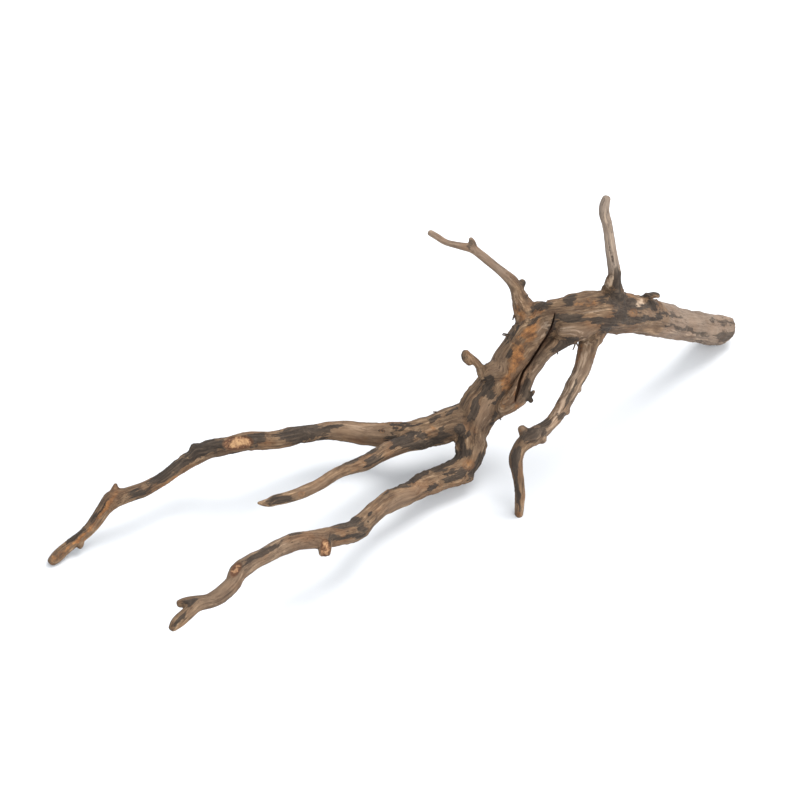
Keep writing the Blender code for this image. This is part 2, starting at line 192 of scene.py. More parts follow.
# For each limb, the one that it grows out of, whose grain it carries on, and its stops: x, y, z and the
# limb's radius there, in mm.
limbStops = {
    "trunk": (None, (
        (246, 182, -3.2, 12), (234, 169.5, 9.9, 12), (221, 155, 23.2, 12.2), (209, 142, 35.2, 12.4),
        (191, 123, 52.4, 12), (173, 104, 71.6, 13.2), (154, 86, 90, 14.4), (136, 67, 106, 15.2),
        (117, 52, 117.2, 15.9), (103, 47, 117.8, 15), (90, 51, 112, 12.1), (79, 51, 103, 12), (70, 49, 91, 11.6),
        (60, 45, 75, 11.4), (52, 41, 60, 12.5), (42, 33, 46, 14.2), (37, 24, 34, 11.6), (35, 15, 23, 9.8))),
    "lip": ("trunk", (
        (110, 45, 112, 12), (101, 43, 105.4, 7.9), (93, 42, 98.6, 6.4), (87, 42, 91.6, 5.7), (82, 41, 83, 5.8),
        (77, 39, 75, 5.7), (73, 35, 67, 6.3), (69, 30, 60, 7.4), (63, 28, 55, 7.2), (55, 28, 49, 5.4),
        (47, 26, 41, 5.6), (42, 22, 34, 6.9), (38, 17, 27, 6.8))),
    "web": ("trunk", ((106, 55, 108, 9), (92, 52, 96, 8), (82, 49, 83, 7.6), (73, 45, 69, 7.6), (65, 39, 58, 8.6))),
    "lowerLimb": ("trunk", (
        (39, 19, 28, 9.6), (32.8, 6, 17, 9.6), (24, -2, 16, 9.7), (14, -9, 17, 8.9), (3, -18, 20, 8.1),
        (-8, -30, 22.6, 7.7), (-22, -43, 27, 7.4), (-37, -64, 30, 7.3), (-45, -78, 33.4, 7.3),
        (-54, -86, 37.6, 7.2), (-65, -94, 41.7, 6.5), (-82, -103, 48.1, 5.8), (-92, -110, 48.8, 5.8),
        (-100.8, -119, 50.2, 5.7), (-110.5, -128, 51.8, 6), (-118, -137, 51.8, 6), (-120.4, -143.4, 50.5, 6),
        (-125.6, -149, 48.5, 6.2), (-134, -154.5, 46.4, 5.5), (-141, -158, 46.3, 4.4), (-149, -166, 44.8, 4.1),
        (-155.4, -173.4, 43.4, 3.5), (-156.8, -175.6, 42.6, 2.6))),
    "leftLimb": ("trunk", (
        (44, 32, 43, 11.6), (26, 28, 37, 12), (15, 26, 34, 12), (4, 24, 32, 11.3), (-10, 22, 29.8, 10.2),
        (-25, 26, 27.4, 9), (-41, 27, 27.2, 8.2), (-52, 26, 30.6, 7.9), (-64, 24, 33, 7.3), (-75, 18, 36, 6.6),
        (-83, 13, 39, 6.5), (-104, -2, 47, 6.4), (-118, -6, 50, 6.9), (-132, -6, 45.3, 6), (-148, -4, 39.5, 6.3),
        (-159.5, -8.6, 35.2, 5.8), (-169, -15.6, 32.6, 5.1), (-178, -23, 30, 4.9), (-189, -31, 29, 5.5),
        (-200, -37.8, 29.3, 5.6), (-210.6, -42, 28.4, 6.3), (-216.4, -46, 23.3, 5.1), (-222, -51, 17, 4.5),
        (-228, -57, 12, 4), (-235.3, -61.6, 8.2, 4), (-243.3, -68, 5.5, 4.3), (-248.8, -74.2, 3.4, 4),
        (-250.8, -76.6, 3, 3.3))),
    "middleTwig": ("leftLimb", (
        (4, 20, 31, 7.6), (-8, 10.5, 33.5, 6.5), (-17, 3.5, 35.5, 6), (-26, -5, 37.5, 5.8), (-36, -15, 38.5, 5.6),
        (-47, -23, 40.5, 4.9), (-58, -32, 42.6, 4.1), (-67, -42, 43.6, 4), (-79, -52, 44.6, 4.1),
        (-91, -60, 46.6, 4), (-98, -62.6, 46.8, 3.7), (-101.5, -64.5, 46.6, 3), (-105.5, -65.8, 47.2, 2),
        (-108.8, -66.6, 48.2, 1))),
    "leg": ("trunk", (
        (123, 51, 107.6, 10.6), (118, 48, 97, 7.4), (115.2, 42, 86, 6.2), (112.4, 35, 79, 6), (107.7, 28, 73, 5.8),
        (102.2, 19, 68, 5.3), (97, 11, 64, 5.1), (91, 3, 60, 4.6), (84, -4, 58, 5.3), (76, -9, 56, 5.8),
        (68, -14, 50, 5), (65.8, -18.3, 45.4, 5), (66.9, -20, 36, 4.2), (68.3, -22, 26, 3.9), (69.4, -24, 16, 3.7),
        (69.3, -26, 8, 3.5), (69.1, -26.8, 0, 3.4), (69, -27.6, -5, 3.4))),
    "uprightTwig": ("trunk", (
        (133, 60, 112, 11), (134, 62, 124, 8), (133.5, 63, 133, 5.3), (133.5, 64, 143, 4.3), (132, 64, 151, 4.2),
        (130, 66, 161, 4.1), (128, 68, 172, 3.9), (126, 69, 181, 3.7), (123.7, 70, 188, 3.9), (123.8, 72, 193, 3.7),
        (125.3, 74, 197.6, 3))),
    "backTwig": ("trunk", (
        (80, 52, 104, 11), (75, 56, 112, 9.5), (70.6, 59, 121, 6.5), (67.5, 62, 128, 4.9), (63.5, 65, 134.6, 4.4),
        (57.3, 68, 139.6, 3.7), (49.3, 72, 144.8, 3.2), (42.3, 75, 149.8, 3.1), (35.3, 78, 153.4, 3.2),
        (29.3, 79, 154.2, 2.8), (23.3, 81, 154.2, 2.5), (17.3, 84, 154.2, 2.5), (11.4, 87, 156.5, 2.6),
        (6.6, 90.6, 157.6, 2.4))),
    "budStub": ("trunk", (
        (55, 40, 75, 8.6), (50.2, 39.8, 76.4, 7), (45.4, 39, 74, 5.2), (41.5, 41, 79, 3.1), (38, 42, 83, 2.9),
        (33.5, 44, 86, 3))),
    "budBulb": ("budStub", ((32, 44, 89, 2.8), (32, 43.5, 86.4, 3.5), (33.5, 43, 82.4, 3.2), (35, 42, 80, 2.4))),
    "backTwigFork": ("backTwig", ((36.8, 77, 153, 3.2), (36, 80.5, 156.4, 2.6), (34.8, 82.4, 158.6, 1.7))),
    "backTwigSpur": ("backTwig", ((66, 62, 127.4, 4.4), (69.6, 65, 130, 3.2), (71.4, 68, 132, 2.5))),
    "twigCrotch": ("trunk", ((72, 58, 117, 4.6), (81.6, 55, 117.4, 6.6), (95, 52, 117, 6.3))),
    "trunkSpur": ("trunk", (
        (146, 76, 101, 7), (153, 83, 102.8, 5.2), (158.4, 85.4, 104.2, 3.2), (163, 85.6, 106.7, 2.7),
        (166.8, 85, 108, 2.3), (169.4, 84.6, 107.6, 1.8))),
    "barkRidge": ("trunk", ((150, 76, 99, 8), (160, 85, 94.6, 8.2), (170, 93, 90, 6.8))),
    "twigCollar": ("trunk", (
        (122.6, 60, 119, 6.6), (127.4, 62, 124, 4.8), (129.4, 63, 131, 3.4), (130.8, 63, 139, 2.7))),
    "leftShoulder": ("leftLimb", ((-152, -5, 38.6, 6), (-158.6, -3, 40, 3.9))),
    "leftShoulderLow": ("leftLimb", ((-162, -10.4, 34.2, 4.9), (-165, -9.6, 34.8, 3))),
    "leftSpike": ("leftLimb", ((-209, -41, 29.6, 5.8), (-209, -37.4, 32.4, 3.5), (-208.8, -34, 35.4, 1.4))),
    "leftNub": ("leftLimb", ((-233, -61, 8, 3.6), (-232.2, -64.6, 6.3, 2.5), (-232.2, -66.4, 6.2, 1.9))),
    "leftSwelling": ("leftLimb", ((-81, 14, 39, 6.4), (-82, 16, 42, 3.6))),
    "lowerKnot": ("lowerLimb", ((-6, -29, 24, 7), (-7, -32, 22, 4.4), (-7, -35, 20, 2.2))),
    "lowerSawStub": ("lowerLimb", (
        (-64, -93, 42, 6), (-63, -99, 40, 4.7), (-63.4, -101.8, 38, 4.1), (-63.5, -103, 37, 3.7))),
    "lowerHeel": ("lowerLimb", ((30, 4, 16, 8), (32.6, -3, 11.2, 6.4))),
    "lowerShortFork": ("lowerLimb", (
        (-136, -155.6, 47.4, 4.5), (-144, -156.6, 48.1, 3.4), (-150.4, -157.8, 47.7, 3.2),
        (-153.8, -158.8, 47.5, 2.5))),
    "legThornHigh": ("leg", ((107, 28, 71, 5), (110, 26.5, 70, 3.6), (111.5, 26, 69.5, 2.7))),
    "legThornMiddle": ("leg", ((98, 14, 64, 4.8), (101, 11, 63, 3.6), (102, 10, 62.5, 2.8))),
    "legThornLow": ("leg", ((81, -7, 57, 4.8), (83.5, -9.5, 56, 3.8), (84.5, -11, 56, 3))),
    "kneeStub": ("leg", ((75, -8, 55, 5.6), (71, -4, 57.6, 4), (69.6, -2, 58.8, 3.1))),
    "rootTuft": ("lip", ((71, 33, 64, 3.4), (74.6, 29, 62, 2.4), (78, 25, 60, 2))),
    "rootTuftUpper": ("rootTuft", (
        (75.4, 28, 61, 2), (77, 27, 63, 1.7), (78.8, 27, 66, 1.5), (79.6, 27, 67.6, 1.2))),
}


# Stops in mm as places in metres, seen from the footprint's middle.
def onFootprint(stops):
    x, y = limbShapes["footprintMiddle"]
    return (np.asarray(stops, float)[:, :3] - np.array([x, y, 0.0])) * mm


# A smooth route through the stops: between two stops, a cubic that leaves and reaches each with the slope
# of the line through its neighbours. Returns the rings' middles in metres and radii in metres.
def smoothRoute(stops):
    stops = np.asarray(stops, float)
    middles = onFootprint(stops)
    known = np.column_stack([middles, stops[:, 3] * mm])
    gap = np.linalg.norm(np.diff(middles, axis=0), axis=1)
    along = np.concatenate([[0.0], np.cumsum(gap)])
    slope = np.gradient(known, along, axis=0)
    count = max(int(along[-1] / (limbShapes["routeStep"] * mm)), 3)
    at = np.linspace(0.0, along[-1], count + 1)
    left = np.clip(np.searchsorted(along, at, side="right") - 1, 0, len(along) - 2)
    span = (along[left + 1] - along[left])[:, None]
    t = ((at - along[left]) / span[:, 0])[:, None]
    route = ((2 * t**3 - 3 * t**2 + 1) * known[left] + (t**3 - 2 * t**2 + t) * span * slope[left]
             + (3 * t**2 - 2 * t**3) * known[left + 1] + (t**3 - t**2) * span * slope[left + 1])
    return route[:, :3], np.maximum(route[:, 3], 0.3 * mm)


# Two axes across the route at each ring, turned as little as possible from ring to ring.
def carriedAxes(middles, firstAcross):
    tangent = unitRows(np.gradient(middles, axis=0))
    across = np.zeros_like(tangent)
    last = firstAcross
    for ring in range(len(tangent)):
        last = last - tangent[ring] * (last @ tangent[ring])
        last = last / np.linalg.norm(last)
        across[ring] = last
    return tangent, across, np.cross(tangent, across)


# Each limb's rings, with its grain's start and direction taken from the limb that it grows out of.
def growRoutes():
    grown = {}
    for name, (source, stops) in limbStops.items():
        middles, radii = smoothRoute(stops)
        firstAcross = np.array([0.31, -0.55, 0.77])
        start = 0.0
        if source:
            parent = grown[source]
            nearest = np.argmin(np.linalg.norm(parent["middles"] - middles[0], axis=1))
            firstAcross = parent["across"][nearest]
            start = parent["along"][nearest]
        tangent, across, up = carriedAxes(middles, firstAcross)
        step = np.linalg.norm(np.diff(middles, axis=0), axis=1)
        grown[name] = {
            "middles": middles, "radii": radii, "tangent": tangent, "across": across, "up": up,
            "along": start + np.concatenate([[0.0], np.cumsum(step)]),
        }
    return grown


# A limb's skin: rings whose radius departs a little from round by noise that changes slowly along the limb,
# and a rounded cap on each end.
def limbSurface(limb, seed):
    angle = np.linspace(0, 2 * math.pi, limbShapes["ringPoints"], endpoint=False)
    middles = limb["middles"]
    radii = np.maximum(limb["radii"] - limbShapes["thin"] * mm, 0.75 * limb["radii"])
    wide, high = np.meshgrid(angle, limb["along"])
    spots = np.column_stack([np.cos(wide).ravel() * 1.3, np.sin(wide).ravel() * 1.3, high.ravel() / (26 * mm)])
    swell = 1 + limbShapes["flute"] * 2 * softNoise(spots, seed, 2).reshape(wide.shape)
    skin = ringsRound(middles, limb["across"], limb["up"], radii[:, None] * swell, len(angle))

    capTurns = np.radians([35, 65])
    caps = []
    for end, way in ((0, -1), (-1, 1)):
        bulge = way * limb["tangent"][end] * radii[end] * 0.55
        caps.append([middles[end] + (skin[end] - middles[end]) * math.cos(turn) + bulge * math.sin(turn)
                     for turn in capTurns])
        caps[-1].append(middles[end] + bulge)
    rings = np.concatenate([caps[0][1][None], caps[0][0][None], skin, caps[1][0][None], caps[1][1][None]])
    return np.concatenate([rings.reshape(-1, 3), caps[0][2][None], caps[1][2][None]]), len(rings), rings.shape[1]


routes = growRoutes()
limbsMesh = meshOfTubes("limbs", [limbSurface(limb, 40 + number) for number, limb in enumerate(routes.values())])
print("limbs:", len(routes), "with", len(limbsMesh.vertices), "points")


# One skin, its relief and its cuts

skinShape = {
    "voxel": 0.86,              # mm
    "soften": 2,                # rounds of smoothing after the limbs are grown together
    "triangles": 188000,        # that the finished skin keeps
    "sliverGap": 0.03,          # mm; points of the finished skin nearer than this are joined
    "swellingSize": 12.0,       # mm
    "swelling": 1.1,            # mm, as are the heights below
    "flute": 1.5,
    "ridge": 0.75,
    "fibre": 0.22,
    "barkRelief": 0.38,
    "barkGrain": 2.6,           # mm, the size of the bark's roughness
    "rustRelief": 0.8,
    "rustGrain": 3.0,
    "scarSink": 0.8,
    "scarRim": 0.55,
    "eyeRim": 0.5,
    "lobeProud": 1.3,           # mm that the wood left of the split stands out beside it
    "lipSunk": 1.3,             # mm that the wood right of the split lies back beside it
    "pocket": 3.4,              # mm that the split opens into a hollow near its foot
    "valley": 2.2,              # mm that the wood right of the split's head is worn down
    "blend": 1.3,               # mm over which one limb's grain gives way to another's
    "lead": 1.3,                # how much more a thick limb counts there than a thin one
    "sawPoint": (236.3, 171.9, 7.5),
    "sawNormal": (0.62, 0.09, -0.78),
    # the split: x, y, z on the skin and half its width there
    "split": (
        (92.0, 40, 126, 0.5), (91.2, 39, 121, 0.8), (89.6, 38, 114, 0.9), (87.2, 40, 105, 1.0),
        (84.2, 41, 98, 1.1), (80.8, 40, 91, 1.1), (76.6, 39, 83, 1.1), (72.4, 37, 77, 1.2),
        (70.0, 33, 72, 1.4), (69.0, 29, 69, 1.7), (67.4, 25, 65, 1.5), (66.4, 22, 62, 0.8)),
    "splitInward": (0.0, 0.77, -0.64),
    "splitDepth": 7.0,          # mm that the blade runs into the wood
    "splitClearance": 7.0,      # mm that it stands out of it
}

# Noise that is stretched along the grain: one lump's length and width in mm, seed and rounds.
grainFigures = {
    "flute": (38.0, 6.5, 11, 2),
    "ridge": (22.0, 3.0, 23, 2),
    "ridgeDepth": (45.0, 11.0, 71, 2),
    "fibre": (9.0, 1.25, 29, 1),
    "barkEdge": (6.0, 2.4, 31, 2),
}


# For each skin point, its place along the grain and its two places across it, in mm. The point is
# measured from every limb that is near, and the limbs share it by exp(-gap / blend) * (radius / 8)^lead,
# where gap is how far the point stands off that limb's round skin.
def limbCoordinates(points):
    total = np.zeros((len(points), 3))
    weight = np.zeros(len(points))
    radiusSum = np.zeros(len(points))
    reach = 12 * mm
    for limb in routes.values():
        low = limb["middles"].min(0) - limb["radii"].max() - reach
        high = limb["middles"].max(0) + limb["radii"].max() + reach
        near = np.flatnonzero(((points > low) & (points < high)).all(1))
        for block in np.array_split(near, max(len(near) // 6000, 1)):
            if not len(block):
                continue
            apart = points[block][:, None] - limb["middles"][None]
            squares = (apart ** 2).sum(2)
            nearest = np.argmin(squares - limb["radii"][None] ** 2 * 0.25, axis=1)
            offsetHere = apart[np.arange(len(block)), nearest]
            ahead = (offsetHere * limb["tangent"][nearest]).sum(1)
            x = (offsetHere * limb["across"][nearest]).sum(1)
            y = (offsetHere * limb["up"][nearest]).sum(1)
            past = np.maximum(np.abs(ahead) - 1.5 * mm, 0)
            gap = np.sqrt(x * x + y * y + past * past) - limb["radii"][nearest]
            share = np.exp(-np.clip(gap / mm, -1, 40) / skinShape["blend"])
            share *= (limb["radii"][nearest] / (8 * mm)) ** skinShape["lead"]
            total[block] += share[:, None] * np.column_stack([limb["along"][nearest] + ahead, x, y])
            radiusSum[block] += share * limb["radii"][nearest]
            weight[block] += share
    weight = np.maximum(weight, 1e-12)
    return total / weight[:, None] / mm, radiusSum / weight / mm


# The piece's mesh with its modifiers applied.
def evaluatedCopy(piece, name):
    bpy.context.view_layer.update()
    graph = bpy.context.evaluated_depsgraph_get()
    mesh = bpy.data.meshes.new_from_object(piece.evaluated_get(graph))
    mesh.name = name
    return mesh


# Leaves a thinned skin as one closed sheet: points nearer together than `gap` become one, faces without
# width are dissolved, and edges that carry no face are taken out with their loose ends.
def closeSlivers(mesh, gap):
    sheet = bmesh.new()
    sheet.from_mesh(mesh)
    bmesh.ops.remove_doubles(sheet, verts=sheet.verts, dist=gap)
    bmesh.ops.dissolve_degenerate(sheet, edges=sheet.edges, dist=gap / 3)
    bmesh.ops.delete(sheet, geom=[edge for edge in sheet.edges if edge.is_wire], context="EDGES")
    sheet.to_mesh(mesh)
    sheet.free()


# Where the photograph shows dark bark, rusty or pale wood, calm wood with little figure, and scars, with a few
# bark marks that are painted shade and a few pale marks that are painted light: middle x, y, half length, half
# width in pixels, turn in degrees (clockwise from the right), strength.
woodMarks = {
    "barkAndPaintedShade": (
        (207, 446, 21, 8.5, -10, 1), (256, 439, 13, 6, -12, 0.9), (303, 433.5, 25, 8.5, -5, 1),
        (330, 428, 14, 3.5, -3, 0.9), (169, 471, 24, 5, -32, 1.1), (196, 451, 14, 6.5, -20, 1),
        (140, 493, 14, 4.5, -15, 0.7), (97, 515, 19, 2.4, -58, 0.85), (75, 536, 15, 2.4, -42, 0.8),
        (232, 455, 12, 1.6, -8, 0.7), (261, 554, 22, 3.4, -30, 0.9), (296, 533, 8, 2.2, -10, 0.8),
        (277, 545, 4, 2, -20, 0.8), (181.5, 619, 12, 2.4, -45, 1), (191, 602, 8, 3.6, -8, 0.9),
        (349, 524, 15, 4, -14, 1), (349, 537, 17, 2.4, -8, 1), (362, 528, 4, 5.5, -20, 0.9),
        (330, 539, 3, 6, 0, 0.8), (370.4, 513, 2, 1.6, 0, 1), (368.8, 520.3, 1.6, 1.6, 0, 0.8),
        # painted shade: the marks at 411, 480 and 446, 461.5 here and at 476, 466 three lines down stand for the
        # shadow side of a groove
        (411, 480, 24, 3.4, -27, 1.25), (446, 461.5, 19, 5.6, -27, 1.3), (450, 472, 11, 1.9, -14, 1),
        (431, 487, 9, 3.2, -32, 1), (449, 478, 9, 1.9, -22, 1), (398, 424.5, 14, 1.9, -2, 0.9),
        (413, 435, 9, 2.6, -12, 0.9), (441, 437.5, 10, 2.8, -10, 0.95), (357, 458, 22, 2, -31, 0.85),
        (467, 452, 5.5, 3.4, -40, 0.9), (476, 466, 16, 4, -58, 1.2), (409, 427.8, 14, 2.2, -16, 0.9),
        (434, 419, 7, 3, -20, 0.8), (441, 431, 8, 3.4, -55, 0.75), (424, 444, 22, 4.4, -9, 1),
        (397, 439.5, 8, 4.6, 0, 0.9), (390, 437, 6, 3, -25, 0.75), (382, 431, 3, 1.4, 0, 0.8),
        (459.7, 431.8, 10, 4.2, 85, 1), (466.8, 435.8, 5.5, 1.8, 90, 1), (475, 407, 14, 3.8, 104, 1),
        (485, 390, 11, 5.5, -50, 1), (490, 381, 7, 5, -60, 1), (451, 410, 8, 3, -45, 0.85),
        (373, 461, 11, 4, -30, 0.9), (369.6, 453, 12, 2.2, -25, 0.7), (280, 499, 17, 4, -7, 0.8),
        (497, 399, 12, 2, -48, 0.9), (513, 333, 17, 3.2, -50, 0.65), (510.5, 354, 6, 3.2, -55, 0.8),
        (541, 306, 12, 4, -15, 0.85), (495, 417, 10, 2.6, -52, 0.8), (525.7, 387.7, 14, 4.6, -72, 0.95),
        (565, 344, 14, 4.8, -25, 1), (571, 300, 8, 5, -30, 0.9), (575, 318.5, 16, 4.6, 4, 1),
        (463, 446, 8, 2.2, 85, 0.9), (596, 321.5, 9, 4, 8, 0.95), (607, 327, 8, 4.6, -45, 0.95),
        (552.5, 326, 14, 3.6, -68, 0.85), (617.5, 280, 14, 5, 85, 1), (618, 298, 10, 9, 0, 1),
        (604, 297, 8, 5, -30, 0.7), (629, 320, 33, 3.8, -4, 1), (628, 303, 11, 7, 25, 0.95),
        (620, 312, 10, 8, 0, 0.8), (652, 306, 8, 7, 10, 0.85), (660, 317, 3.4, 4.4, 0, 0.95),
        (648, 294, 11, 2.4, -8, 0.85), (671, 314, 13, 1.9, 12, 0.85), (685, 329, 25, 2.2, 12, 0.85),
        (723.5, 322, 11, 2.6, 12, 0.9), (726, 335.5, 11, 4.4, -10, 1.05), (712, 321, 0.9, 2.4, 0, 1),
        (704, 342.5, 16, 1.4, 8, 0.6), (610.6, 254, 14, 1.2, 78, 0.9), (603, 202, 6, 0.9, 105, 0.8),
        (472, 242.6, 5, 4, 40, 0.6), (449, 237.5, 17, 1.4, 20, 0.5), (523, 282.5, 3, 3, 0, 0.7),
        (465, 356, 5, 5, 0, 0.6), (533.6, 435, 13, 7, -25, 1), (544, 424.5, 8, 4, -38, 0.95),
        (516, 456, 9, 4, 105, 1), (515.5, 470, 11, 3, 80, 0.95), (518, 493, 17, 2.7, 88, 1),
        (562, 415, 5, 3, -40, 1), (572.4, 389.6, 12, 1.7, -62, 0.95), (567, 402, 10, 1.7, -65, 0.9),
        (585, 380, 6, 1.8, -72, 0.7), (572.4, 371, 2, 1.5, 0, 0.8), (530, 397, 6, 6, 0, 1),
        (461, 473, 8, 4.2, -42, 0.95), (421, 436, 8, 2.8, -10, 0.9), (397, 446, 10, 3, -22, 1.05),
        (470, 247, 4, 2.4, 50, 0.7), (491, 396, 6, 2.8, -50, 0.7), (640, 308, 7, 4, 0, 0.8),
        (560.5, 413, 4, 2, -35, 0.75), (407, 441, 7, 3, -12, 0.9), (334, 537, 7, 3, -14, 0.85),
        (533, 321, 8, 3, -30, 0.65),
    ),
    "rust": (
        (98.6, 517, 21, 3.2, -54, 1), (76, 543, 13, 3, -42, 0.85), (56, 557, 10, 5, -45, 0.6),
        (170, 480.5, 22, 1.7, -35, 0.7), (115, 492, 8, 4, -50, 0.6), (427, 431, 10, 5, -12, 0.35),
        (531.5, 332, 13, 6, -62, 1), (519, 353.5, 10, 5.5, -62, 1), (512, 366, 9, 5.5, -62, 0.7),
        (507, 381, 11, 4.6, -78, 1), (536.8, 314, 10, 4, -35, 0.8), (518, 313, 10, 6, 60, 0.55),
        (512, 398, 9, 3, -75, 0.6), (524, 345, 24, 9, -60, 0.45), (587, 302, 15, 5, 9, 0.45),
        (506, 401, 9, 4, 100, 0.5), (579.8, 355, 14, 2.6, 97, 0.6), (301, 494, 3.4, 2.4, 0, 0.7),
        (517.5, 514, 3.4, 3, 0, 0.6), (181.5, 602.4, 3.2, 3, 0, 0.7), (468, 464.5, 5, 7, 0, 0.35),
        (520.8, 430, 3, 3, 0, 0.5), (633.5, 312.7, 2, 2, 0, 0.7), (516, 406, 7, 3, -20, 0.55),
        (354, 470, 20, 3, -28, 0.3), (190, 606, 4, 2, 0, 0.3),
    ),
    "paleAndPaintedLight": (
        (589.4, 311.5, 23, 2.6, 6, 0.4), (639, 303, 8, 3.6, 10, 0.75), (608, 283, 2.5, 6, 0, 0.7),
        (612, 279.5, 1.5, 6, 0, 0.8), (575, 331, 18, 5, 3, 0.45), (543, 329, 14, 5.5, -62, 0.45),
        # painted light: the mark at 608, 232 along the upright twig brightens its side that faces the camera
        (608, 232, 34, 8, 82, 0.45), (692, 334, 30, 4, 11, 0.42), (352, 426, 40, 6, 2, 0.3),
        (568, 392, 44, 5.5, 118, 0.55), (518, 301, 16, 6, 75, 0.35), (537, 371, 12, 3.5, -62, 0.4),
        (583, 360, 16, 8, 100, 0.4), (585, 341, 6, 5, 90, 0.45), (502, 408, 12, 4, -60, 0.35),
        (486, 425, 20, 4, -80, 0.35),
    ),
    "calm": (
        (355, 431, 42, 8, 3, 1), (402, 500, 26, 7, -30, 0.9), (305, 545, 26, 5, -8, 0.8),
        (215, 592, 28, 7, -35, 0.9), (484, 412, 20, 7, -65, 0.9), (497, 368, 26, 7, -58, 0.7),
        (540, 370, 22, 5, -62, 0.8), (575, 331, 20, 6, 3, 0.9), (690, 322, 50, 12, 11, 1),
        (568, 392, 44, 6, 118, 0.8), (583, 360, 16, 8, 100, 0.8), (315, 487, 34, 4, -25, 0.7),
        (543, 329, 14, 6, -62, 0.9), (490, 262, 34, 5, 42, 0.8), (608, 228, 38, 8, 82, 1),
        (478, 448, 16, 6, -80, 0.6), (98, 517, 24, 4, -56, 0.5),
    ),
    "scar": (
        (238, 443, 14.8, 7, -5, 1), (235.7, 569.7, 9.5, 5, -60, 0.75), (325, 548, 5, 9.5, 0, 0.9),
    ),
}

# Round eyes where shoots once grew: x, y, radius in pixels, and mm of rim.
knotEyes = (
    (633.5, 312.8, 4.2, 0.7), (468.4, 464.5, 6, 0.7), (475.3, 431.6, 1.6, 0.5),
    (587, 287, 3, 0.4), (382, 431, 2.4, 0.3), (301, 494, 3, 0.4), (596, 357, 3, 0.3),
)

hiddenMarks = {
    "barkCover": 0.30,      # share of the wood that keeps its bark where the photograph doesn't show it
    "barkLength": 26.0,     # mm
    "barkWidth": 7.5,
    "rustCover": 0.10,
    "wander": 5.0,          # pixels by which a mark's edge strays along and across the grain
}

# Wood bleached paler and greyer: middle x, y, z and radius in mm, strength.
bleached = (
    (215, 155, 30, 62, 0.62), (183, 118, 62, 34, 0.65), (126, 68, 172, 34, 1.0), (126, 68, 200, 30, 1.0),
    (30, 78, 150, 44, 0.5), (-110, -125, 50, 60, 0.2), (100, 15, 65, 45, 0.25),
)


# How strongly each point lies in a mark: strength * (1 - distance from the mark's middle as a share of
# its half length and half width), the strongest mark counting, with 0.5 at the mark's edge.
def markStrength(marks, px, py):
    best = np.zeros(len(px))
    for x, y, halfLength, halfWidth, turn, strength in marks:
        cosine, sine = math.cos(math.radians(turn)), math.sin(math.radians(turn))
        dx, dy = px - x, py - y
        near = np.flatnonzero((np.abs(dx) < 2 * halfLength + 9) & (np.abs(dy) < 2 * halfLength + 9))
        dx, dy = dx[near], dy[near]
        along = (dx * cosine + dy * sine) / halfLength
        across = (-dx * sine + dy * cosine) / halfWidth
        level = strength * np.clip(1.5 - np.sqrt(along ** 2 + across ** 2), 0, 1)
        best[near] = np.maximum(best[near], level)
    return best


# Where each point is pictured, with its place strayed by noise that is stretched along the grain.
def strayedPixels(points, grain):
    px, py = photoPixels(points)
    spots = grain / np.array([8.0, 2.6, 2.6])
    return (px + hiddenMarks["wander"] * softNoise(spots, 51, 3),
            py + hiddenMarks["wander"] * softNoise(spots + 9, 57, 3))


# How squarely the camera of the photograph sees each point, from 0 to 1.
def seenShare(points, normals):
    toCamera = unitRows(np.array(photoView["place"]) - points)
    return easeBetween((normals * toCamera).sum(1), -0.12, 0.12)


# Every layer of marks as one value for each point: the photograph's marks where the wood faces the
# camera, and marks grown from noise along the grain elsewhere.
def markLayers(points, normals, grain):
    px, py = strayedPixels(points, grain)
    seen = seenShare(points, normals)
    layers = {name: markStrength(marks, px, py) for name, marks in woodMarks.items()}
    cleanX, cleanY = photoPixels(points)
    layers["scar"] = markStrength(woodMarks["scar"], 0.8 * cleanX + 0.2 * px, 0.8 * cleanY + 0.2 * py)
    length, width = hiddenMarks["barkLength"], hiddenMarks["barkWidth"]
    spots = grain / np.array([length, width, width])
    grown = softNoise(spots, 7, 3)
    barkLevel = np.quantile(grown, 1 - hiddenMarks["barkCover"])
    rusty = softNoise(spots * 1.3 + 5, 19, 2)
    rustLevel = np.quantile(rusty, 1 - hiddenMarks["rustCover"])
    layers["barkAndPaintedShade"] = seen * layers["barkAndPaintedShade"] + (1 - seen) * easeBetween(grown, barkLevel - 0.25, barkLevel + 0.25)
    layers["rust"] = seen * layers["rust"] + (1 - seen) * 0.7 * easeBetween(rusty, rustLevel - 0.2, rustLevel + 0.25)
    for name in ("paleAndPaintedLight", "calm", "scar"):
        layers[name] = seen * layers[name]
    layers["eye"] = np.zeros(len(points))
    for x, y, radius, rim in knotEyes:
        away = np.hypot(cleanX - x, (cleanY - y) * 1.1) / radius
        layers["eye"] = np.maximum(layers["eye"], seen * np.exp(-((away - 0.8) / 0.28) ** 2))
    layers["faded"] = np.zeros(len(points))
    for x, y, z, radius, strength in bleached:
        away = np.linalg.norm(points - onFootprint([(x, y, z)])[0], axis=1) / (radius * mm)
        layers["faded"] = np.maximum(layers["faded"], strength * (1 - easeBetween(away, 0.65, 1.05)))
    layers["calm"] = np.maximum(layers["calm"], 0.9 * layers["faded"])
    return layers


